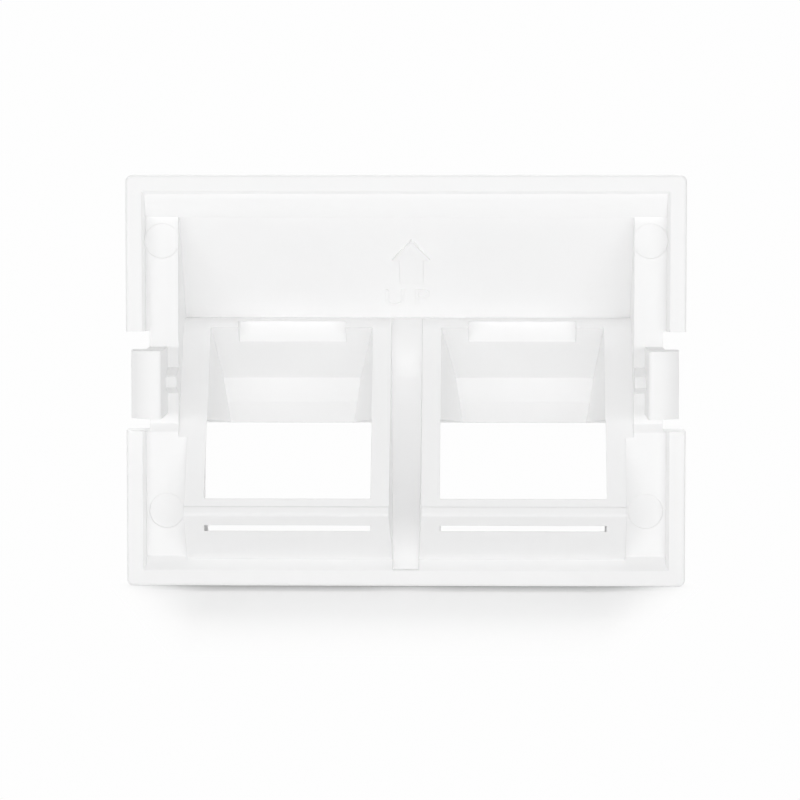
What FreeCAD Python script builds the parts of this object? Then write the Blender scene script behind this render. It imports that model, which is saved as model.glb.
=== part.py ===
"""Angled two-jack data outlet adapter, moulded in one piece.

The adapter snaps into a rectangular cut-out from the front. Its frame lies on the panel,
two clips grip behind it, and a hood in front carries two keystone jacks that look
forwards and down.

Frame of the finished part: millimetres, +Z up, +Y towards the front. The origin is the
middle of the panel cut-out, in the plane of the frame's back. The sketches measure heights
from the frame's bottom edge, and the finished solid is lowered by half the frame's height.
"""

import FreeCAD, Part
import math
import os

import Sketcher

doc = FreeCAD.newDocument("outlet_adapter")


# Driving dimensions

SIZES = {
    # frame that lies on the panel
    "frame_width": 50.0,
    "frame_height": 36.8,
    "frame_depth": 3.3,
    "corner_radius": 0.6,
    "back_edge_radius": 0.3,
    "front_edge_radius": 0.5,
    # tray sunk into the back of the frame
    "rim_width": 1.45,
    "rim_slant": 0.25,
    "upper_floor": 1.5,
    "lower_floor": 1.0,
    "floor_split": 14.15,
    "floor_ramp": 0.7,
    "sill_height": 2.6,
    "sill_drop": 0.85,
    "sill_step": 0.25,
    # rounded bar under the top rim
    "bar_depth": 0.35,
    "bar_under": 0.9,
    "bar_height": 2.0,
    "bar_face": 0.9,
    "bar_round": 2.0,
    # hood in front of the frame
    "hood_inset": 3.0,
    "hood_front": 15.2,
    "hood_wall": 1.8,
    "hood_nose_radius": 5.0,
    "hood_edge_radius": 0.6,
    "hood_foot": 2.0,
    "visor_lip": 13.7,
    "visor_wall": 1.6,
    "lip_radius": 0.4,
    # wedge shaped hollow behind the hood
    "hollow_inset": 4.6,
    "top_band": 3.8,
    "slope_start": 2.2,
    "ridge_height": 23.6,
    "ridge_depth": 10.4,
    "shelf_radius": 2.2,
    "panel_tilt": 31.8,
    # arrow raised on the hollow's slope, highest at its tip
    "arrow_offset": 0.4,
    "arrow_tip": 2.63,
    "arrow_barb": 5.1,
    "arrow_foot": 8.3,
    "arrow_head_width": 3.4,
    "arrow_shaft_width": 2.15,
    "arrow_wedge": 3.5,
    # jack block behind the lower floor
    "block_inset": 5.35,
    "bead_height": 7.45,
    "bead_size": 0.7,
    "bead_rise": 0.35,
    "bead_radius": 0.3,
    "ledge_foot": 2.15,
    # jack bays
    "bay_spacing": 21.0,
    "jack_width": 14.8,
    "jack_bottom": 8.1,
    "jack_top": 22.9,
    "plug_width": 11.2,
    "visor_top": 17.9,
    "visor_top_width": 12.8,
    "visor_shift": 0.3,
    "mouth_top": 14.75,
    "mouth_flare": 4.3,
    "bevel_height": 1.9,
    "bevel_depth": 0.65,
    "latch_width": 9.8,
    "latch_top": 23.4,
    "latch_back": 8.8,
    "lug_slot_level": 5.23,
    "lug_slot_height": 0.5,
    "lug_slot_slope": 6.0,
    # channel in the centre web between the bays
    "web_width": 2.85,
    "web_draft": 2.5,
    "web_shelf": 0.15,
    "web_round": 3.8,
    "web_knee": 18.4,
    "web_knee_radius": 0.8,
    # snap clips in the side notches
    "notch_height": 8.9,
    "notch_depth": 2.0,
    "clip_height": 6.0,
    "clip_wall": 1.6,
    "clip_catch": 1.15,
    "clip_grip": 2.0,
    "clip_length": 5.3,
    "clip_flank": 2.0,
    "clip_tip": 1.45,
    "clip_flank_radius": 0.3,
    "clip_tip_radius": 2.6,
    "clip_back_radius": 0.3,
    "rib_rise": 2.5,
    "rib_top": 1.0,
    "rib_foot": 2.3,
    # ejector pin marks
    "mark_diameter": 3.1,
    "mark_depth": 0.08,
    "mark_dish": 0.14,
    "mark_curve": 8.0,
    "mark_height_low": 6.7,
    "mark_drop_high": 5.9,
}

sheet = doc.addObject("Spreadsheet::Sheet", "dim")
for row, (alias, value) in enumerate(SIZES.items(), start=1):
    sheet.set(f"A{row}", alias)
    sheet.set(f"B{row}", str(value))
    sheet.setAlias(f"B{row}", alias)
doc.recompute()

# How far a cutting shape stands clear of the solid it cuts
CLEAR = 1.0

# How far behind the tilted panel the cuts into it start
LEAD = 0.2


# Expressions that several sketches share

HALF = "dim.frame_width / 2"
RIM_TOP = "dim.frame_height - dim.rim_width"
BAR_TOP = f"{RIM_TOP} - dim.rim_slant"
TRAY_HALF = f"{HALF} - dim.rim_width - dim.rim_slant"
HOLLOW_HALF = f"{HALF} - dim.hollow_inset"
BLOCK_HALF = f"{HALF} - dim.block_inset"
NOTCH_HALF = f"{HALF} - dim.notch_depth"
SLOPE_TOP = "dim.frame_height - dim.top_band"
SLOPE_RUN = "dim.ridge_depth - dim.slope_start"
SLOPE_DROP = f"({SLOPE_TOP} - dim.ridge_height)"
SLOPE_TURN = f"atan(({SLOPE_RUN}) / {SLOPE_DROP})"
MID_HEIGHT = "dim.frame_height / 2"
BAY = "dim.bay_spacing / 2"
VISOR = f"{BAY} + dim.visor_shift"
TILT = "dim.panel_tilt * 1 deg"
VISOR_BACK = "dim.hood_front - dim.visor_wall"


def panel_at(height):
    """Depth of the tilted jack panel's back face at a height."""
    return f"(dim.upper_floor - (dim.floor_split - ({height})) * tan({TILT}))"


def hood_top_at(depth):
    """Height of the hood's outer slope at a depth, one wall outside the hollow's slope."""
    steepness = f"({SLOPE_DROP} / ({SLOPE_RUN}))"
    shift = f"dim.hood_wall * sqrt(1 + {steepness} ^ 2)"
    return f"({SLOPE_TOP} - ({depth} - dim.slope_start) * {steepness} + {shift})"


def bay_floor_at(depth):
    """Height of a bay's floor, which runs square to the jack panel."""
    run = f"({depth} - {panel_at('dim.jack_bottom')})"
    return f"(dim.jack_bottom - {run} * tan({TILT}))"


def mouth_top_at(depth):
    """Height of a mouth's ceiling, which falls from behind the panel to the visor's lip."""
    fall = f"((dim.mouth_top - dim.visor_lip) / ({VISOR_BACK} - dim.upper_floor))"
    return f"(dim.mouth_top - ({depth} - dim.upper_floor) * {fall})"


def lug_slot_at(depth):
    """Height of the middle of a lug slot, which falls towards the front."""
    return f"(dim.lug_slot_level - ({depth}) * tan(dim.lug_slot_slope * 1 deg))"


# Sketches

def number(owner, expression):
    """Value of an expression as a plain number."""
    value = owner.evalExpression(str(expression))
    return float(getattr(value, "Value", value))


def place_sketch(body, name, plane, shift=None, turn=None):
    """Add a sketch on one of the body's origin planes, with an optional bound offset."""
    sketch = body.newObject("Sketcher::SketchObject", name)
    support = next(item for item in body.Origin.OriginFeatures if item.Role == plane)
    sketch.AttachmentSupport = [(support, "")]
    sketch.MapMode = "FlatFace"
    if turn is not None:
        sketch.AttachmentOffset = FreeCAD.Placement(
            FreeCAD.Vector(), FreeCAD.Rotation(FreeCAD.Vector(1, 0, 0), number(sketch, turn))
        )
        sketch.setExpression("AttachmentOffset.Rotation.Angle", turn)
    for axis, expression in (shift or {}).items():
        sketch.setExpression(f"AttachmentOffset.Base.{axis}", expression)
    return sketch


def pin_point(sketch, geometry, x, y):
    """Hold a point of the sketch at two bound distances from the sketch origin."""
    for kind, expression in (("DistanceX", x), ("DistanceY", y)):
        value = number(sketch, expression)
        index = sketch.addConstraint(
            Sketcher.Constraint(kind, -1, 1, geometry, 1, value)
        )
        sketch.setExpression(f"Constraints[{index}]", str(expression))


def draw_outline(sketch, corners):
    """Draw a closed outline whose corners are pinned by expressions.

    Each corner is (x, y) or (x, y, radius). A corner with a radius becomes an arc that is
    tangent to the two lines that meet there.
    """
    count = len(corners)
    places = [
        FreeCAD.Vector(number(sketch, corner[0]), number(sketch, corner[1]), 0)
        for corner in corners
    ]
    radii = [number(sketch, corner[2]) if len(corner) > 2 else 0.0 for corner in corners]

    starts = [None] * count
    ends = [None] * count
    arcs = {}
    for i, place in enumerate(places):
        to_last = (places[i - 1] - place).normalize()
        to_next = (places[(i + 1) % count] - place).normalize()
        if not radii[i]:
            starts[i] = place
            ends[i] = place
            continue
        half_angle = to_last.getAngle(to_next) / 2
        reach = radii[i] / math.tan(half_angle)
        ends[i] = place + to_last * reach
        starts[i] = place + to_next * reach
        middle = (to_last + to_next).normalize()
        centre = place + middle * (radii[i] / math.sin(half_angle))
        arcs[i] = (centre, to_last.cross(to_next).z < 0)

    lines = [
        sketch.addGeometry(Part.LineSegment(starts[i], ends[(i + 1) % count]))
        for i in range(count)
    ]
    for i, corner in enumerate(corners):
        before = lines[i - 1]
        after = lines[i]
        point = sketch.addGeometry(Part.Point(places[i]), True)
        pin_point(sketch, point, corner[0], corner[1])
        if i not in arcs:
            sketch.addConstraint(Sketcher.Constraint("Coincident", before, 2, point, 1))
            sketch.addConstraint(Sketcher.Constraint("Coincident", after, 1, point, 1))
            continue
        centre, leftward = arcs[i]
        first, last = (ends[i], starts[i]) if leftward else (starts[i], ends[i])
        from_angle = math.atan2(first.y - centre.y, first.x - centre.x)
        to_angle = math.atan2(last.y - centre.y, last.x - centre.x)
        circle = Part.Circle(centre, FreeCAD.Vector(0, 0, 1), radii[i])
        arc = sketch.addGeometry(Part.ArcOfCircle(circle, from_angle, to_angle))
        begin, finish = (1, 2) if leftward else (2, 1)
        sketch.addConstraint(Sketcher.Constraint("Tangent", before, 2, arc, begin))
        sketch.addConstraint(Sketcher.Constraint("Tangent", after, 1, arc, finish))
        sketch.addConstraint(Sketcher.Constraint("PointOnObject", point, 1, before))
        sketch.addConstraint(Sketcher.Constraint("PointOnObject", point, 1, after))
        index = sketch.addConstraint(Sketcher.Constraint("Radius", arc, radii[i]))
        sketch.setExpression(f"Constraints[{index}]", str(corner[2]))
    doc.recompute()


def rectangle(left, right, bottom, top, radius=None):
    """Corners of an upright rectangle, all with the same optional radius."""
    corners = [(left, bottom), (right, bottom), (right, top), (left, top)]
    if radius is None:
        return corners
    return [corner + (radius,) for corner in corners]


# Features

def feature(body, kind, name, sketch, length=None, both_ways=False, backwards=False):
    """Pad or pocket a sketch by a bound length, or right through where none is given."""
    before = 0.0 if body.Shape.isNull() else body.Shape.Volume
    item = body.newObject(f"PartDesign::{kind}", name)
    item.Profile = sketch
    if length is None:
        item.Type = "ThroughAll"
    else:
        item.Type = "Length"
        item.setExpression("Length", str(length))
    if both_ways:
        item.SideType = "Symmetric"
    item.Reversed = backwards
    sketch.Visibility = False
    doc.recompute()
    grows = item.Shape.Volume > before
    if grows != (kind == "Pad") or abs(item.Shape.Volume - before) < 1e-6:
        raise RuntimeError(f"{name} missed the solid")
    return item


def fillet(body, name, base, radius, wanted):
    """Round every edge of the base feature that passes the wanted test."""
    edges = [
        f"Edge{i}" for i, edge in enumerate(base.Shape.Edges, start=1) if wanted(edge)
    ]
    item = body.newObject("PartDesign::Fillet", name)
    item.Base = (base, edges)
    item.setExpression("Radius", radius)
    doc.recompute()
    return item


def flat_in_y(edge, depth):
    """True for an edge that lies wholly at one depth."""
    box = edge.BoundBox
    return abs(box.YMin - depth) < 1e-6 and abs(box.YMax - depth) < 1e-6


def profile_feature(body, kind, name, corners, width):
    """Pad or pocket a side profile (Y, Z), evenly about the adapter's middle."""
    sketch = place_sketch(body, f"{name}_profile", "YZ_Plane")
    draw_outline(sketch, corners)
    return feature(body, kind, name, sketch, width, both_ways=True)


def bay_pocket(body, name, corners, width):
    """Pocket a side profile (Y, Z), evenly about the middle of the right bay."""
    start = f"{BAY} - ({width}) / 2"
    sketch = place_sketch(body, f"{name}_profile", "YZ_Plane", shift={"z": start})
    draw_outline(sketch, corners)
    return feature(body, "Pocket", name, sketch, width, backwards=True)


body = doc.addObject("PartDesign::Body", "housing")
doc.recompute()


def build_frame():
    """Flat frame with rounded corners and edges."""
    sketch = place_sketch(body, "frame_outline", "XZ_Plane")
    outline = rectangle(f"-{HALF}", HALF, "0", "dim.frame_height", "dim.corner_radius")
    draw_outline(sketch, outline)
    frame = feature(body, "Pad", "frame", sketch, "dim.frame_depth", backwards=True)
    back = fillet(
        body, "frame_back_edge", frame, "dim.back_edge_radius",
        lambda edge: flat_in_y(edge, 0.0),
    )
    depth = number(sketch, "dim.frame_depth")
    fillet(
        body, "frame_front_edge", back, "dim.front_edge_radius",
        lambda edge: flat_in_y(edge, depth),
    )


def build_hood():
    """Solid hood: a slope, a rounded nose, an upright front and an underside that runs back."""
    root = "(dim.frame_depth - dim.front_edge_radius)"
    corners = [
        (root, hood_top_at(root)),
        ("dim.hood_front", hood_top_at("dim.hood_front"), "dim.hood_nose_radius"),
        ("dim.hood_front", "dim.visor_lip", "dim.lip_radius"),
        ("dim.frame_depth", "dim.hood_foot"),
        (root, "dim.hood_foot"),
    ]
    width = "dim.frame_width - 2 * dim.hood_inset"
    hood = profile_feature(body, "Pad", "hood", corners, width)
    side = number(sheet, f"{HALF} - dim.hood_inset")
    depth = number(sheet, "dim.frame_depth")

    def is_hood_side(edge):
        box = edge.BoundBox
        on_side = abs(abs(box.XMin) - side) < 1e-6 and abs(box.XMax - box.XMin) < 1e-6
        return on_side and box.YMax > depth + CLEAR

    fillet(body, "hood_edges", hood, "dim.hood_edge_radius", is_hood_side)


def build_tray():
    """Shallow tray behind the frame, under the rounded bar, with slanting rim edges."""
    rim_half = f"({HALF} - dim.rim_width)"
    corners = [
        (-CLEAR, RIM_TOP),
        ("0", RIM_TOP),
        ("dim.bar_depth", BAR_TOP),
        ("dim.bar_depth", f"{BAR_TOP} - dim.bar_face", "dim.bar_round"),
        ("dim.bar_under", f"{BAR_TOP} - dim.bar_height"),
        ("dim.upper_floor", f"{BAR_TOP} - dim.bar_height"),
        ("dim.upper_floor", "dim.floor_split + dim.floor_ramp / 2"),
        ("dim.lower_floor", "dim.floor_split - dim.floor_ramp / 2"),
        ("dim.lower_floor", "dim.sill_height"),
        ("dim.sill_step", "dim.sill_height - dim.sill_drop"),
        ("0", "dim.rim_width"),
        (-CLEAR, "dim.rim_width"),
    ]
    profile_feature(body, "Pocket", "tray", corners, f"2 * {rim_half}")

    sketch = place_sketch(body, "tray_side_section", "XY_Plane", shift={"z": "dim.rim_width"})
    sunk = "(dim.frame_depth / 2)"
    draw_outline(sketch, [
        (rim_half, "0"),
        (f"{rim_half} + dim.rim_slant", sunk),
        (TRAY_HALF, sunk),
        (TRAY_HALF, "dim.bar_depth"),
    ])
    height = "dim.frame_height - 2 * dim.rim_width"
    return [feature(body, "Pad", "tray_side", sketch, height)]


def build_hollow():
    """Wedge shaped hollow between the sloping hood and the tilted jack panel."""
    floor_gap = "(dim.upper_floor - dim.lower_floor)"
    foot = f"(dim.floor_split - {floor_gap} / tan({TILT}))"
    corners = [
        (-CLEAR, SLOPE_TOP),
        ("dim.slope_start", SLOPE_TOP),
        ("dim.ridge_depth", "dim.ridge_height"),
        (panel_at("dim.ridge_height"), "dim.ridge_height", "dim.shelf_radius"),
        ("dim.lower_floor", foot),
        (-CLEAR, foot),
    ]
    profile_feature(body, "Pocket", "hollow", corners, f"2 * ({HOLLOW_HALF})")


def build_arrow():
    """Raised arrow on the slope, whose face leaves the slope at the arrow's foot."""
    foot_depth = f"(dim.slope_start + dim.arrow_foot * sin({SLOPE_TURN}))"
    foot_height = f"({SLOPE_TOP} - dim.arrow_foot * cos({SLOPE_TURN}))"
    sketch = place_sketch(
        body, "arrow_outline", "XZ_Plane",
        shift={"x": "dim.arrow_offset", "y": foot_height, "z": f"-{foot_depth}"},
        turn=f"{SLOPE_TURN} + dim.arrow_wedge * 1 deg",
    )
    head = "dim.arrow_head_width / 2"
    shaft = "dim.arrow_shaft_width / 2"
    barb = "dim.arrow_foot - dim.arrow_barb"
    draw_outline(sketch, [
        (f"-{shaft}", -CLEAR),
        (shaft, -CLEAR),
        (shaft, barb),
        (head, barb),
        ("0", "dim.arrow_foot - dim.arrow_tip"),
        (f"-{head}", barb),
        (f"-{shaft}", barb),
    ])
    feature(body, "Pad", "arrow", sketch, CLEAR, backwards=True)


def build_jack_block():
    """Lower half of the jack panel, with a bead along its foot and a ledge that runs back in."""
    bead_foot = "(dim.bead_height - dim.bead_size)"
    inside = "dim.frame_depth / 2"
    corners = [
        ("dim.upper_floor", "dim.floor_split"),
        (panel_at("dim.bead_height"), "dim.bead_height"),
        (f"{panel_at('dim.bead_height')} - dim.bead_rise", "dim.bead_height", "dim.bead_radius"),
        (f"{panel_at(bead_foot)} - dim.bead_rise", bead_foot, "dim.bead_radius"),
        ("dim.lower_floor", "dim.ledge_foot"),
        (inside, "dim.ledge_foot"),
        (inside, "dim.floor_split"),
    ]
    profile_feature(body, "Pad", "jack_block", corners, f"2 * ({BLOCK_HALF})")


def loft_pocket(name, start, end):
    """Cut a straight sided passage from one sketch to another."""
    item = body.newObject("PartDesign::SubtractiveLoft", name)
    item.Profile = start
    item.Sections = [end]
    item.Ruled = True
    start.Visibility = False
    end.Visibility = False
    doc.recompute()
    return item


def panel_sketch(name, low, high):
    """Outline of the right jack's opening, just behind the tilted panel, between two heights."""
    height = f"dim.floor_split + {LEAD} * sin({TILT})"
    depth = f"(dim.upper_floor - {LEAD} * cos({TILT}))"
    sketch = place_sketch(
        body, name, "XZ_Plane",
        shift={"x": BAY, "y": height, "z": f"-{depth}"},
        turn=f"-{TILT}",
    )
    half = "dim.jack_width / 2"
    along = [f"({edge} - dim.floor_split) / cos({TILT})" for edge in (low, high)]
    draw_outline(sketch, rectangle(f"-{half}", half, *along))
    return sketch


def build_visor_room():
    """Room under the right visor, which narrows from the jack to the visor's front wall."""
    low = f"(dim.visor_lip - {CLEAR})"

    def half_at(height):
        """Half the room's width at its front, which grows with the height."""
        spread = f"(dim.visor_top_width - dim.plug_width) / (dim.visor_top - {low})"
        return f"((dim.plug_width + ({height} - {low}) * {spread}) / 2)"

    def front_sketch(name, depth, top):
        """Section of the room at a depth near its front, up to a height."""
        sketch = place_sketch(body, name, "XZ_Plane", shift={"x": VISOR, "z": f"-({depth})"})
        draw_outline(sketch, [
            (f"-{half_at(low)}", low),
            (half_at(low), low),
            (half_at(top), top),
            (f"-{half_at(top)}", top),
        ])
        return sketch

    back = panel_sketch("visor_room_back", "dim.floor_split", "dim.jack_top")
    front = front_sketch("visor_room_front", VISOR_BACK, "dim.visor_top")
    room = loft_pocket("visor_room", back, front)

    high = "dim.visor_lip + dim.bevel_height"
    bevel_back = front_sketch("lip_bevel_back", VISOR_BACK, high)
    bevel_front = front_sketch(
        "lip_bevel_front", f"{VISOR_BACK} + dim.bevel_depth", "dim.visor_lip"
    )
    bevel = loft_pocket("lip_bevel", bevel_back, bevel_front)
    return [room, bevel]


def build_mouth():
    """Open mouth below the right visor, which flares from the jack panel to the front."""
    back = panel_sketch("mouth_back", "dim.jack_bottom", "dim.mouth_top")
    past = f"(dim.hood_front + {CLEAR})"
    half = f"(dim.jack_width / 2 + {past} * tan(dim.mouth_flare * 1 deg))"
    front = place_sketch(body, "mouth_front", "XZ_Plane", shift={"x": BAY, "z": f"-{past}"})
    draw_outline(front, rectangle(f"-{half}", half, bay_floor_at(past), mouth_top_at(past)))
    return [loft_pocket("mouth", back, front)]


def build_catches():
    """Notch over the right jack for its latch, and the slot below it for its lug."""
    latch_half = "dim.latch_width / 2"
    sketch = place_sketch(body, "latch_notch_outline", "XZ_Plane", shift={"x": BAY})
    low = "dim.visor_top"
    draw_outline(sketch, rectangle(f"-{latch_half}", latch_half, low, "dim.latch_top"))
    latch = feature(body, "Pocket", "latch_notch", sketch, "dim.latch_back")

    behind = f"({panel_at('dim.jack_bottom')} - {CLEAR})"
    past = f"(dim.hood_front + {CLEAR})"
    slot = bay_pocket(body, "lug_slot", [
        (behind, f"{lug_slot_at(behind)} - dim.lug_slot_height / 2"),
        (past, f"{lug_slot_at(past)} - dim.lug_slot_height / 2"),
        (past, f"{lug_slot_at(past)} + dim.lug_slot_height / 2"),
        (behind, f"{lug_slot_at(behind)} + dim.lug_slot_height / 2"),
    ], "dim.jack_width")
    return [latch, slot]


def build_clip():
    """Right snap clip in its notch, with the rib that braces its foot."""
    sketch = place_sketch(body, "side_notch_outline", "XZ_Plane")
    low = f"{MID_HEIGHT} - dim.notch_height / 2"
    high = f"{MID_HEIGHT} + dim.notch_height / 2"
    draw_outline(sketch, rectangle(NOTCH_HALF, f"{HALF} + {CLEAR}", low, high))
    notch = feature(body, "Pocket", "side_notch", sketch, both_ways=True)

    inner = f"{NOTCH_HALF} - dim.clip_wall"
    outer = f"{NOTCH_HALF} + dim.clip_catch"
    root = "(dim.upper_floor + dim.frame_depth) / 2"
    sketch = place_sketch(
        body, "clip_section", "XY_Plane", shift={"z": f"{MID_HEIGHT} - dim.clip_height / 2"}
    )
    draw_outline(sketch, [
        (inner, root),
        (inner, "-dim.clip_length", "dim.clip_back_radius"),
        (f"{inner} + dim.clip_tip", "-dim.clip_length", "dim.clip_tip_radius"),
        (outer, "-(dim.clip_grip + dim.clip_flank)", "dim.clip_flank_radius"),
        (outer, "-dim.clip_grip"),
        (NOTCH_HALF, "-dim.clip_grip"),
        (NOTCH_HALF, root),
    ])
    clip = feature(body, "Pad", "clip", sketch, "dim.clip_height")

    sketch = place_sketch(body, "rib_section", "YZ_Plane", shift={"z": HOLLOW_HALF})
    crest = "dim.upper_floor - dim.rib_rise"
    draw_outline(sketch, [
        (root, f"{MID_HEIGHT} - dim.rib_foot / 2"),
        ("dim.upper_floor", f"{MID_HEIGHT} - dim.rib_foot / 2"),
        (crest, f"{MID_HEIGHT} - dim.rib_top / 2"),
        (crest, f"{MID_HEIGHT} + dim.rib_top / 2"),
        ("dim.upper_floor", f"{MID_HEIGHT} + dim.rib_foot / 2"),
        (root, f"{MID_HEIGHT} + dim.rib_foot / 2"),
    ])
    rib_length = f"({inner}) - ({HOLLOW_HALF}) + dim.clip_wall / 2"
    rib = feature(body, "Pad", "clip_rib", sketch, rib_length)
    return [notch, clip, rib]


def build_marks():
    """Round, slightly dished ejector marks on the two floors of the right side."""
    places = {
        "low_mark": (BLOCK_HALF, "dim.mark_height_low", "dim.lower_floor"),
        "high_mark": (HOLLOW_HALF, "dim.frame_height - dim.mark_drop_high", "dim.upper_floor"),
    }
    marks = []
    for name, (inner, height, floor) in places.items():
        middle = f"(({inner}) + ({TRAY_HALF})) / 2"
        sketch = place_sketch(
            body, f"{name}_section", "XY_Plane", shift={"x": middle, "z": height}
        )
        edge = f"{floor} + dim.mark_depth"
        deepest = f"{edge} + dim.mark_dish"
        draw_outline(sketch, [
            ("0", -CLEAR),
            ("dim.mark_diameter / 2", -CLEAR),
            ("dim.mark_diameter / 2", edge),
            ("dim.mark_diameter / 4", deepest, "dim.mark_curve"),
            ("0", deepest),
        ])
        mark = body.newObject("PartDesign::Groove", name)
        mark.Profile = sketch
        mark.ReferenceAxis = (sketch, ["V_Axis"])
        sketch.Visibility = False
        doc.recompute()
        marks.append(mark)
    return marks


def mirror(features):
    """Repeat the right side's features on the left."""
    item = body.newObject("PartDesign::Mirrored", "left_side")
    plane = next(p for p in body.Origin.OriginFeatures if p.Role == "YZ_Plane")
    item.Originals = features
    item.MirrorPlane = (plane, [""])
    body.Tip = item
    doc.recompute()


build_frame()
build_hood()
tray_sides = build_tray()
build_hollow()
build_arrow()
build_jack_block()
bay = build_visor_room() + build_mouth() + build_catches()
mirror(tray_sides + bay + build_clip() + build_marks())


def build_web_core():
    """Core of the channel in the centre web: its side profile and its section, in common."""
    side = doc.addObject("PartDesign::Body", "web_core_side")
    doc.recompute()
    far_back = f"-(dim.clip_length + {CLEAR})"
    crest = "(dim.ridge_height + dim.web_shelf)"
    brink = "(dim.ridge_depth - dim.web_shelf)"
    floor = f"({brink} - dim.web_shelf - dim.web_round)"
    sketch = place_sketch(side, "web_profile", "YZ_Plane")
    draw_outline(sketch, [
        (far_back, crest),
        (brink, crest),
        (brink, "dim.ridge_height"),
        (floor, "dim.ridge_height", "dim.web_round"),
        (floor, "dim.web_knee", "dim.web_knee_radius"),
        ("dim.lower_floor", "dim.rim_width"),
        (far_back, "dim.rim_width"),
    ])
    feature(side, "Pad", "web_side", sketch, "2 * dim.web_width", both_ways=True)

    section = doc.addObject("PartDesign::Body", "web_core_section")
    doc.recompute()
    sketch = place_sketch(
        section, "web_section", "XY_Plane",
        shift={"y": "dim.upper_floor", "z": "dim.floor_split"},
        turn=f"-{TILT}",
    )
    narrowing = "dim.ridge_depth * tan(dim.web_draft * 1 deg)"
    deep_half = f"(dim.web_width / 2 - {narrowing})"
    wide_half = f"(dim.web_width / 2 + {narrowing})"
    draw_outline(sketch, [
        (f"-{wide_half}", "-dim.ridge_depth"),
        (wide_half, "-dim.ridge_depth"),
        (deep_half, "dim.ridge_depth"),
        (f"-{deep_half}", "dim.ridge_depth"),
    ])
    feature(section, "Pad", "web_taper", sketch, "2 * dim.frame_height", both_ways=True)

    common = doc.addObject("Part::Common", "web_core")
    common.Base = side
    common.Tool = section
    return common


web_core = build_web_core()
housing = doc.addObject("Part::Cut", "adapter_housing")
housing.Label = "adapter_housing"
housing.Base = body
housing.Tool = web_core
housing.setExpression("Placement.Base.z", f"-({MID_HEIGHT})")
doc.recompute()


# Check the document and write the solid

for item in doc.Objects:
    if "Invalid" in item.State or "Error" in item.State:
        raise RuntimeError(f"{item.Label} failed: {item.State}")

shape = housing.Shape
if shape.isNull() or not shape.isValid() or len(shape.Solids) != 1:
    raise RuntimeError("adapter_housing is not one valid solid")

os.makedirs("parts", exist_ok=True)
shape.exportStep(f"parts/{housing.Label}.step")
box = shape.optimalBoundingBox()
print(f"{housing.Label}: {box.XLength:.2f} x {box.YLength:.2f} x {box.ZLength:.2f} mm,"
      f" volume {shape.Volume:.1f} mm3")
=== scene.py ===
"""Looks of the angled data outlet adapter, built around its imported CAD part.

The adapter is shown from behind, standing on a white table in soft studio light. The
housing is the CAD part itself. The raised lettering on the hood's inner slope is a visual
piece that rides on it.
"""

import logging
import math
from dataclasses import dataclass
from enum import Enum

import bpy
from mathutils import Matrix, Vector


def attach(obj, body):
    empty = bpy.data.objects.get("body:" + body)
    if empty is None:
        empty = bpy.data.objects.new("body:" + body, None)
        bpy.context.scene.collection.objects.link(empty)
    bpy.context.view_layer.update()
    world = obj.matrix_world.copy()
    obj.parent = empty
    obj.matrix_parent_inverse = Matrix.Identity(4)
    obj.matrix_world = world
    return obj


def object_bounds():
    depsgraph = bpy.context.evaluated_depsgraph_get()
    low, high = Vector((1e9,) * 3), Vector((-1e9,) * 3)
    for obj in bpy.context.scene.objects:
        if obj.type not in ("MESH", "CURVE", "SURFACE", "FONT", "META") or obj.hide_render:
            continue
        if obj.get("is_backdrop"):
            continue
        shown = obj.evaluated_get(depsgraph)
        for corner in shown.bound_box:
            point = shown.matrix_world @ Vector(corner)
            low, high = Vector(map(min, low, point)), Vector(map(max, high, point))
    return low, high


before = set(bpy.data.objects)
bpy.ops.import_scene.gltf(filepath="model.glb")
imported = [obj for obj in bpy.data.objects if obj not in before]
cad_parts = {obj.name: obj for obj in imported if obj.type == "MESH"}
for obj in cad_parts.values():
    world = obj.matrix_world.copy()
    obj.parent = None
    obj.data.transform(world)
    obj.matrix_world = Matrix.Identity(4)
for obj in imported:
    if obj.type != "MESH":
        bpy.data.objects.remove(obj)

logging.basicConfig(level=logging.INFO, format="%(name)s: %(message)s")
LOG = logging.getLogger("adapter")

MM = 0.001
BODY = "root"
# Usual range of the noise texture's output.
GRAIN_PIT = 0.3
GRAIN_PEAK = 0.7

Socket = bpy.types.NodeSocket
Node = bpy.types.Node
Tree = bpy.types.NodeTree


class RayKind(Enum):
    """Rays that see the white background, as outputs of the light path node."""

    CAMERA = "Is Camera Ray"
    GLOSSY = "Is Glossy Ray"
    TRANSMISSION = "Is Transmission Ray"


def add_node(tree: Tree, kind: str, **inputs: object) -> Node:
    """Add a node and set its input sockets by name.

    Args:
        tree: Node tree that takes the node.
        kind: Blender's type name of the node.
        **inputs: Socket names, with underscores for spaces, and their values.

    Returns:
        The new node.
    """
    node = tree.nodes.new(kind)
    for name, value in inputs.items():
        node.inputs[name.replace("_", " ")].default_value = value
    return node


def join(tree: Tree, source: Socket, target: Socket) -> None:
    """Link an output socket to an input socket of the same tree."""
    tree.links.new(source, target)


def grey(level: float) -> tuple[float, float, float, float]:
    """Make an opaque neutral colour of a linear level."""
    return (level, level, level, 1.0)


WHITE = grey(1.0)


def larger(tree: Tree, one: Socket, other: Socket) -> Socket:
    """Take the larger of two values.

    Args:
        tree: Node tree that holds both sockets.
        one: First value.
        other: Second value.

    Returns:
        Socket with the larger value.
    """
    choice = add_node(tree, "ShaderNodeMath")
    choice.operation = "MAXIMUM"
    join(tree, one, choice.inputs[0])
    join(tree, other, choice.inputs[1])
    return choice.outputs["Value"]


def background_rays(tree: Tree) -> Socket:
    """Tell the rays that see the white background from those that carry light.

    Args:
        tree: Node tree of a stage material or of the world.

    Returns:
        Socket that is 1 for rays of the kinds in RayKind and 0 for all others.
    """
    path = add_node(tree, "ShaderNodeLightPath")
    first, *others = [path.outputs[kind.value] for kind in RayKind]
    for other in others:
        first = larger(tree, first, other)
    return first


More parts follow.
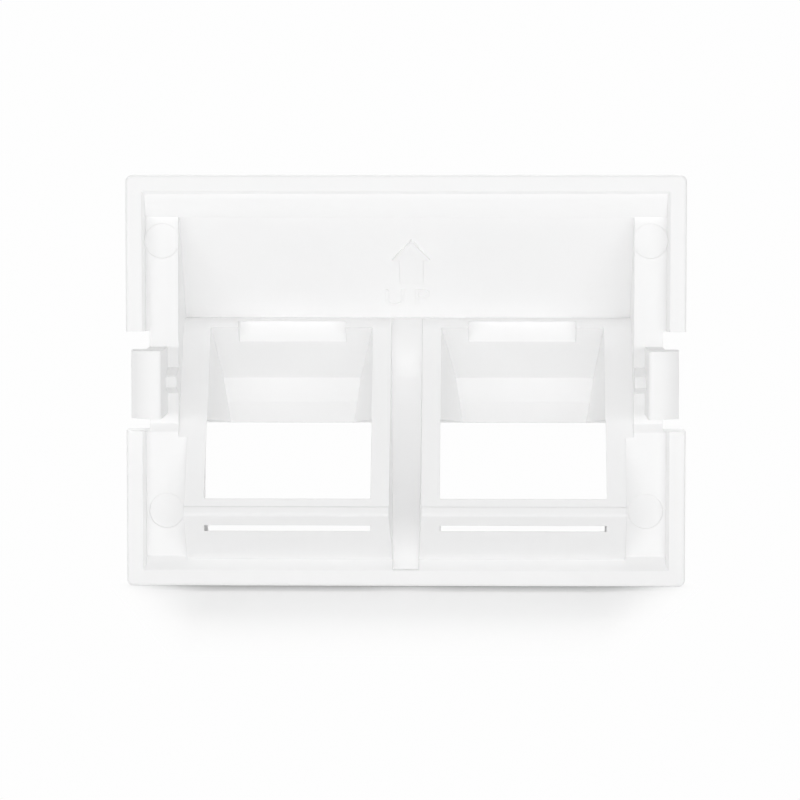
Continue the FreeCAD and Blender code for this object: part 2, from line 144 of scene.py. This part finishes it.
@dataclass(frozen=True)
class PlasticFinish:
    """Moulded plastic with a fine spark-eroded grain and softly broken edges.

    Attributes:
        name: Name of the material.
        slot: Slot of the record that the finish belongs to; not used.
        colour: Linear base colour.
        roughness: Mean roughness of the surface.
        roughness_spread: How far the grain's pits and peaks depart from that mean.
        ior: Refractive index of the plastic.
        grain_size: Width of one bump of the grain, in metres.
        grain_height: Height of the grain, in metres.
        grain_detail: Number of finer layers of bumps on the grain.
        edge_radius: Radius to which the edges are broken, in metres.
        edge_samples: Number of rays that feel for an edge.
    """

    name: str
    slot: str
    colour: tuple[float, float, float]
    roughness: float
    roughness_spread: float = 0.07
    ior: float = 1.5
    grain_size: float = 0.16 * MM
    grain_height: float = 0.002 * MM
    grain_detail: float = 2.0
    edge_radius: float = 0.08 * MM
    edge_samples: int = 6

    def material(self) -> bpy.types.Material:
        """Build the material.

        Returns:
            A material whose grain is laid out in object coordinates.
        """
        material = bpy.data.materials.new(self.name)
        material.use_nodes = True
        tree = material.node_tree
        shader = tree.nodes["Principled BSDF"]
        shader.inputs["Base Color"].default_value = (*self.colour, 1.0)
        shader.inputs["IOR"].default_value = self.ior

        place = add_node(tree, "ShaderNodeTexCoord")
        grain = add_node(
            tree, "ShaderNodeTexNoise", Scale=1.0 / self.grain_size, Detail=self.grain_detail
        )
        edges = add_node(tree, "ShaderNodeBevel", Radius=self.edge_radius)
        edges.samples = self.edge_samples
        bump = add_node(tree, "ShaderNodeBump", Distance=self.grain_height)
        sheen = add_node(
            tree,
            "ShaderNodeMapRange",
            From_Min=GRAIN_PIT,
            From_Max=GRAIN_PEAK,
            To_Min=self.roughness + self.roughness_spread,
            To_Max=self.roughness - self.roughness_spread,
        )
        join(tree, place.outputs["Object"], grain.inputs["Vector"])
        join(tree, grain.outputs["Fac"], sheen.inputs["Value"])
        join(tree, sheen.outputs["Result"], shader.inputs["Roughness"])
        join(tree, grain.outputs["Fac"], bump.inputs["Height"])
        join(tree, edges.outputs["Normal"], bump.inputs["Normal"])
        join(tree, bump.outputs["Normal"], shader.inputs["Normal"])
        return material


@dataclass(frozen=True)
class TableFinish:
    """White table that fades into the white backdrop away from the object, with a painted contact
    shadow close to it.

    Attributes:
        name: Name of the material.
        colour: Linear colour of the table top, as the light meets it.
        seen: Linear colour of the table top, as the camera sees it, before the painted contact
            shadow darkens it.
        lift: Level added to what the camera sees, which makes the open table top white.
        white: Level that the camera sees where the table has faded out.
        contact: Reach of the painted contact shadow, an ambient-occlusion darkening of the colour
            the camera sees near the object, in metres.
        near: Distance before or behind the object where the fade starts, in metres.
        far: Distance where that fade is complete, in metres.
        side_start: Distance from the middle plane where the table starts to fade to the
            side, in metres.
        side_end: Distance where that fade is complete, in metres.
        taper: How much narrower the unfaded strip gets per distance from the object.
    """

    name: str
    colour: float
    seen: float
    lift: float
    white: float
    contact: float
    near: float
    far: float
    side_start: float
    side_end: float
    taper: float

    def fade_share(self, tree: Tree) -> Socket:
        """Work out how far the table has faded.

        Args:
            tree: Node tree of the table's material.

        Returns:
            Socket that is 0 close to the object and 1 where the table has faded out.
        """
        place = add_node(tree, "ShaderNodeTexCoord")
        distance = add_node(tree, "ShaderNodeVectorMath")
        distance.operation = "ABSOLUTE"
        axes = add_node(tree, "ShaderNodeSeparateXYZ")
        depth = add_node(tree, "ShaderNodeMapRange", From_Min=self.near, From_Max=self.far)
        side = add_node(
            tree, "ShaderNodeMapRange", From_Min=self.side_start, From_Max=self.side_end
        )
        side.interpolation_type = "SMOOTHSTEP"
        across = add_node(tree, "ShaderNodeMath")
        across.operation = "MULTIPLY_ADD"
        across.inputs[1].default_value = self.taper
        join(tree, place.outputs["Object"], distance.inputs[0])
        join(tree, distance.outputs["Vector"], axes.inputs["Vector"])
        join(tree, axes.outputs["Y"], depth.inputs["Value"])
        join(tree, axes.outputs["Y"], across.inputs[0])
        join(tree, axes.outputs["X"], across.inputs[2])
        join(tree, across.outputs["Value"], side.inputs["Value"])
        return larger(tree, depth.outputs["Result"], side.outputs["Result"])

    def material(self) -> bpy.types.Material:
        """Build the material.

        Returns:
            A plain white surface for light, which only the camera sees fade to white.
        """
        material = bpy.data.materials.new(self.name)
        material.use_nodes = True
        tree = material.node_tree
        tree.nodes.remove(tree.nodes["Principled BSDF"])
        output = tree.nodes["Material Output"]

        lit = add_node(tree, "ShaderNodeBsdfDiffuse", Color=grey(self.colour))
        # Painted contact shadow: ambient occlusion darkens the colour the camera sees near the
        # object.
        contact = add_node(
            tree, "ShaderNodeAmbientOcclusion", Color=grey(self.seen), Distance=self.contact
        )
        seen = add_node(tree, "ShaderNodeBsdfDiffuse")
        lift = add_node(tree, "ShaderNodeEmission", Strength=self.lift)
        lifted = add_node(tree, "ShaderNodeAddShader")
        white = add_node(tree, "ShaderNodeEmission", Strength=self.white)
        faded = add_node(tree, "ShaderNodeMixShader")
        final = add_node(tree, "ShaderNodeMixShader")
        join(tree, self.fade_share(tree), faded.inputs["Fac"])
        join(tree, contact.outputs["Color"], seen.inputs["Color"])
        join(tree, seen.outputs["BSDF"], lifted.inputs[0])
        join(tree, lift.outputs["Emission"], lifted.inputs[1])
        join(tree, lifted.outputs["Shader"], faded.inputs[1])
        join(tree, white.outputs["Emission"], faded.inputs[2])
        join(tree, background_rays(tree), final.inputs["Fac"])
        join(tree, lit.outputs["BSDF"], final.inputs[1])
        join(tree, faded.outputs["Shader"], final.inputs[2])
        join(tree, final.outputs["Shader"], output.inputs["Surface"])
        return material


def plain_object(name: str, mesh: bpy.types.Mesh) -> bpy.types.Object:
    """Put a mesh into the scene as an object at the origin.

    Args:
        name: Name of the object.
        mesh: Mesh in the row frame, in metres.

    Returns:
        The new object.
    """
    piece = bpy.data.objects.new(name, mesh)
    bpy.context.scene.collection.objects.link(piece)
    return piece


@dataclass
class Housing:
    """The moulded housing, which is the CAD part itself.

    Attributes:
        finish: Plastic of the housing; not used.
        node: Name of the CAD node.
    """

    finish: PlasticFinish
    node: str = "adapter_housing"

    def dress(self, material: bpy.types.Material) -> bpy.types.Object:
        """Give the CAD node its finish.

        Args:
            material: Material of the plastic.

        Returns:
            The CAD node.
        """
        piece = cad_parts[self.node]
        piece.data.materials.clear()
        piece.data.materials.append(material)
        return piece


@dataclass
class Lettering:
    """Raised lettering on the hood's inner slope. Lengths are in millimetres.

    Attributes:
        finish: Plastic of the letters; not used.
        text: Lettering under the arrow.
        text_foot: Height of the foot of the lettering above the row frame's origin.
        text_size: Type size of the lettering.
        text_spacing: Spacing of the letters, where 1 is the normal spacing.
        rise: How far the letters stand out of the slope.
        weld: Distance within which points of a letter become one.
        look_from: Distance behind the origin from which the slope is looked for.
        name: Name of the piece.
    """

    finish: PlasticFinish
    text: str = "UP"
    text_foot: float = 6.42
    text_size: float = 2.95
    text_spacing: float = 1.45
    rise: float = 0.06
    weld: float = 0.0001
    look_from: float = 100.0
    name: str = "lettering_mark"

    def place(self, housing: bpy.types.Object) -> Matrix:
        """Find the slope at the foot of the lettering by looking at the housing from behind.

        Args:
            housing: The CAD node that has the slope.

        Returns:
            Matrix that takes slope millimetres (right, up, out) to the row frame in metres.

        Raises:
            RuntimeError: There is no surface at that height.
        """
        start = Vector((0.0, -self.look_from, self.text_foot)) * MM
        ahead = Vector((0.0, 1.0, 0.0))
        depsgraph = bpy.context.evaluated_depsgraph_get()
        found, foot, out, _ = housing.ray_cast(start, ahead, depsgraph=depsgraph)
        if not found:
            raise RuntimeError("no slope behind the lettering")
        right = Vector((1.0, 0.0, 0.0))
        turn = Matrix((right, out.cross(right), out)).transposed().to_4x4()
        return Matrix.Translation(foot) @ turn @ Matrix.Scale(MM, 4)

    def inputs(self) -> dict[str, float]:
        """Name the inputs of the node tree and their values."""
        return {"Size": self.text_size, "Spacing": self.text_spacing, "Rise": self.rise}

    def lettering_tree(self, material: bpy.types.Material) -> Tree:
        """Build the node tree that sets, fills and raises the lettering.

        Args:
            material: Material of the letters.

        Returns:
            Geometry node tree with the named inputs Size, Spacing and Rise.
        """
        tree = bpy.data.node_groups.new("raised_lettering", "GeometryNodeTree")
        sockets = tree.interface
        sockets.new_socket("Geometry", in_out="INPUT", socket_type="NodeSocketGeometry")
        for name in self.inputs():
            sockets.new_socket(name, in_out="INPUT", socket_type="NodeSocketFloat")
        sockets.new_socket("Geometry", in_out="OUTPUT", socket_type="NodeSocketGeometry")

        given = tree.nodes.new("NodeGroupInput")
        result = tree.nodes.new("NodeGroupOutput")
        letters = add_node(tree, "GeometryNodeStringToCurves", String=self.text)
        letters.align_x = "CENTER"
        letters.align_y = "BOTTOM_BASELINE"
        filled = add_node(tree, "GeometryNodeFillCurve")
        raised = add_node(tree, "GeometryNodeExtrudeMesh", Individual=False)
        underside = add_node(tree, "GeometryNodeFlipFaces")
        both = add_node(tree, "GeometryNodeJoinGeometry")
        single = add_node(tree, "GeometryNodeRealizeInstances")
        welded = add_node(tree, "GeometryNodeMergeByDistance", Distance=self.weld)
        dressed = add_node(tree, "GeometryNodeSetMaterial", Material=material)

        join(tree, given.outputs["Size"], letters.inputs["Size"])
        join(tree, given.outputs["Spacing"], letters.inputs["Character Spacing"])
        join(tree, given.outputs["Rise"], raised.inputs["Offset Scale"])
        join(tree, letters.outputs["Curve Instances"], filled.inputs["Curve"])
        join(tree, filled.outputs["Mesh"], raised.inputs["Mesh"])
        join(tree, filled.outputs["Mesh"], underside.inputs["Mesh"])
        join(tree, raised.outputs["Mesh"], both.inputs["Geometry"])
        join(tree, underside.outputs["Mesh"], both.inputs["Geometry"])
        join(tree, both.outputs["Geometry"], single.inputs["Geometry"])
        join(tree, single.outputs["Geometry"], welded.inputs["Geometry"])
        join(tree, welded.outputs["Geometry"], dressed.inputs["Geometry"])
        join(tree, dressed.outputs["Geometry"], result.inputs["Geometry"])
        return tree

    def build(
        self, housing: bpy.types.Object, material: bpy.types.Material
    ) -> bpy.types.Object:
        """Build the lettering and turn it into a plain mesh.

        Args:
            housing: The CAD node that carries the letters.
            material: Material of the letters.

        Returns:
            The lettering, in place.
        """
        blank = bpy.data.meshes.new("lettering_carrier")
        carrier = plain_object("lettering_carrier", blank)
        modifier = carrier.modifiers.new("raised_lettering", "NODES")
        modifier.node_group = self.lettering_tree(material)
        sizes = self.inputs()
        for socket in modifier.node_group.interface.items_tree:
            if socket.name in sizes:
                modifier[socket.identifier] = sizes[socket.name]
        ready = carrier.evaluated_get(bpy.context.evaluated_depsgraph_get())
        mesh = bpy.data.meshes.new_from_object(ready)
        bpy.data.objects.remove(carrier)
        mesh.name = self.name
        xs = [vertex.co.x for vertex in mesh.vertices]
        middle = (min(xs) + max(xs)) / 2
        mesh.transform(self.place(housing) @ Matrix.Translation((-middle, 0.0, 0.0)))
        return plain_object(self.name, mesh)

    def dress(self, piece: bpy.types.Object, material: bpy.types.Material) -> None:
        """Give the letters the housing's finish and let them ride on it.

        Args:
            piece: The lettering from build.
            material: Material of the plastic.
        """
        piece.data.materials.clear()
        piece.data.materials.append(material)
        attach(piece, BODY)


@dataclass
class Table:
    """White table under the adapter. Lengths are in metres.

    Attributes:
        finish: Finish of the table top.
        half_size: Half the table's width.
    """

    finish: TableFinish
    half_size: float = 4.0

    def build(self, height: float) -> bpy.types.Object:
        """Build the table top.

        Args:
            height: Height of the table top.

        Returns:
            The table top, which is not part of the object.
        """
        corners = [
            (x * self.half_size, y * self.half_size, height)
            for x, y in ((-1, -1), (1, -1), (1, 1), (-1, 1))
        ]
        mesh = bpy.data.meshes.new("table")
        mesh.from_pydata(corners, [], [(0, 1, 2, 3)])
        table = plain_object("table", mesh)
        table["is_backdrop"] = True
        return table

    def dress(self, table: bpy.types.Object) -> None:
        """Give the table from build its finish."""
        table.data.materials.append(self.finish.material())


@dataclass(frozen=True)
class Softbox:
    """Large soft lamp aimed at the adapter. Lengths are in metres.

    Attributes:
        name: Name of the lamp.
        across: Distance to the right of the middle plane.
        back: Distance behind the adapter, on the camera's side.
        height: Height above the adapter's middle.
        width: Width of the lamp.
        length: Length of the lamp's other side.
        power: Power in watts.
    """

    name: str
    across: float
    back: float
    height: float
    width: float
    length: float
    power: float

    def build(self) -> bpy.types.Object:
        """Hang the lamp.

        Returns:
            The lamp object.
        """
        lamp = bpy.data.lights.new(self.name, "AREA")
        lamp.energy = self.power
        lamp.shape = "RECTANGLE"
        lamp.size = self.width
        lamp.size_y = self.length
        holder = bpy.data.objects.new(self.name, lamp)
        holder.location = (self.across, -self.back, self.height)
        aim = -Vector(holder.location)
        holder.rotation_euler = aim.to_track_quat("-Z", "Y").to_euler()
        bpy.context.scene.collection.objects.link(holder)
        return holder


@dataclass
class Studio:
    """Even light all round, a few softboxes and a backdrop that the camera sees as white.

    Attributes:
        ambient: Level of the light from all round.
        backdrop: Level of the backdrop as the camera sees it.
        lamps: The softboxes.
    """

    ambient: float
    backdrop: float
    lamps: tuple[Softbox, ...]

    def build(self) -> None:
        """Set up the world and hang the lamps."""
        world = bpy.data.worlds.new("studio")
        bpy.context.scene.world = world
        world.use_nodes = True
        tree = world.node_tree
        light = tree.nodes["Background"]
        light.inputs["Color"].default_value = WHITE
        light.inputs["Strength"].default_value = self.ambient
        backdrop = add_node(tree, "ShaderNodeBackground", Color=WHITE, Strength=self.backdrop)
        chosen = add_node(tree, "ShaderNodeMixShader")
        join(tree, background_rays(tree), chosen.inputs["Fac"])
        join(tree, light.outputs["Background"], chosen.inputs[1])
        join(tree, backdrop.outputs["Background"], chosen.inputs[2])
        join(tree, chosen.outputs["Shader"], tree.nodes["World Output"].inputs["Surface"])
        for lamp in self.lamps:
            lamp.build()


@dataclass(frozen=True)
class PhotoCamera:
    """Camera at the photo's place. Lengths are in millimetres, angles in degrees.

    Attributes:
        aim: Point in the row frame at the middle of the picture.
        distance: Distance from that point.
        right: How far the camera stands round to the right.
        above: How far it stands above.
        lens: Focal length.
        sensor: Width of the sensor.
        nearest: Distance where sight begins.
        farthest: Distance where sight ends.
    """

    aim: tuple[float, float, float]
    distance: float
    right: float
    above: float
    lens: float
    sensor: float = 36.0
    nearest: float = 10.0
    farthest: float = 20000.0

    def build(self) -> bpy.types.Object:
        """Set up the camera and make it the scene's.

        Returns:
            The camera object.
        """
        data = bpy.data.cameras.new("photo_camera")
        data.sensor_width = self.sensor
        data.lens = self.lens
        data.clip_start = self.nearest * MM
        data.clip_end = self.farthest * MM
        camera = bpy.data.objects.new("photo_camera", data)
        across = math.radians(self.right)
        lift = math.radians(self.above)
        back = Vector((
            math.sin(across) * math.cos(lift),
            -math.cos(across) * math.cos(lift),
            math.sin(lift),
        ))
        camera.location = (Vector(self.aim) + back * self.distance) * MM
        camera.rotation_euler = (-back).to_track_quat("-Z", "Y").to_euler()
        bpy.context.scene.collection.objects.link(camera)
        bpy.context.scene.camera = camera
        return camera


WHITE_PLASTIC = PlasticFinish(
    name="white_plastic", slot="white_plastic", colour=(0.93, 0.93, 0.93), roughness=0.65
)
WHITE_TABLE = TableFinish(
    name="white_table",
    colour=0.9,
    seen=1.0,
    lift=0.13,
    white=0.99,
    contact=5.5 * MM,
    near=8.0 * MM,
    far=46.0 * MM,
    side_start=18.0 * MM,
    side_end=26.5 * MM,
    taper=0.2,
)
STUDIO = Studio(
    ambient=0.46,
    backdrop=0.99,
    lamps=(
        Softbox("low", across=0.0, back=0.6, height=0.02, width=1.2, length=0.07, power=2.05),
        Softbox("overhead", across=-0.1, back=-0.1, height=1.2, width=1.0, length=1.0, power=2.65),
        Softbox("front", across=0.0, back=-0.9, height=0.9, width=0.8, length=0.8, power=6.25),
    ),
)
LIGHT_BOUNCES = 12
CAMERA = PhotoCamera(
    aim=(-0.5, 0.0, -1.65), distance=330.0, right=1.2, above=4.0, lens=166.3
)


def main() -> None:
    """Dress the housing, add the lettering and set up the studio."""
    cad_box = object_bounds()
    scene = bpy.context.scene
    scene.view_settings.view_transform = "Standard"
    scene.cycles.diffuse_bounces = LIGHT_BOUNCES
    scene.cycles.max_bounces = LIGHT_BOUNCES

    plastic = WHITE_PLASTIC.material()
    housing = Housing(WHITE_PLASTIC).dress(plastic)
    lettering = Lettering(WHITE_PLASTIC)
    mark = lettering.build(housing, plastic)
    lettering.dress(mark, plastic)
    for piece in (housing, mark):
        LOG.info("%s: %d faces in %s", piece.name, len(piece.data.polygons), plastic.name)

    table = Table(WHITE_TABLE)
    table.dress(table.build(cad_box[0].z))
    STUDIO.build()
    CAMERA.build()

    LOG.info("scene ready")


if __name__ == "__main__":
    main()
